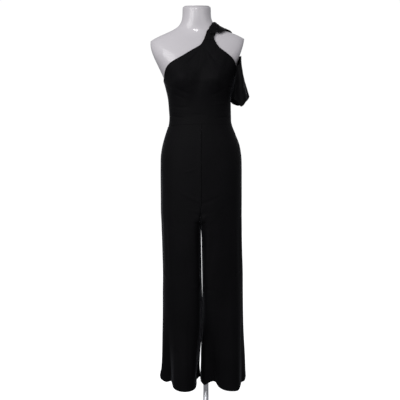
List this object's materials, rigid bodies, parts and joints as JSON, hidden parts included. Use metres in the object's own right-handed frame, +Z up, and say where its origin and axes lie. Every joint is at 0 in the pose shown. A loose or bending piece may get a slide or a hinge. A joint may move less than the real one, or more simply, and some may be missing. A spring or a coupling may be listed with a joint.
{
  "type": "one-shoulder jumpsuit on a limbless dress form with a stand",
  "caption": "Sleek black one-shoulder jumpsuit with wide straight legs, a knotted shoulder and one loose sleeve, shown on a pale limbless dress form with a pole and round base.",
  "frame": {"origin": "centre of the round base's underside, on the floor, on the pole's axis", "axes": "+Z up along the pole; +X to the right of the front view, towards the sleeve; +Y from the front of the garment to its back"},
  "size_m": [0.4108, 0.356, 1.7286],
  "materials": {
    "black_jersey": "matte with a faint soft sheen",
    "form_shell": "semi-gloss light grey",
    "pole_chrome": "polished",
    "base_steel": "satin"
  },
  "bodies": {
    "root": {"bodice_front": "black_jersey", "bodice_back": "black_jersey", "shoulder_strap": "black_jersey", "shoulder_knot": "black_jersey", "shoulder_band": "black_jersey", "sleeve": "black_jersey", "trouser_front_left": "black_jersey", "trouser_front_right": "black_jersey", "trouser_back_left": "black_jersey", "trouser_back_right": "black_jersey", "form_torso": "form_shell", "form_neck_cap": "form_shell", "stand_pole": "pole_chrome", "stand_socket": "pole_chrome", "stand_base": "base_steel"}
  },
  "joints": []
}
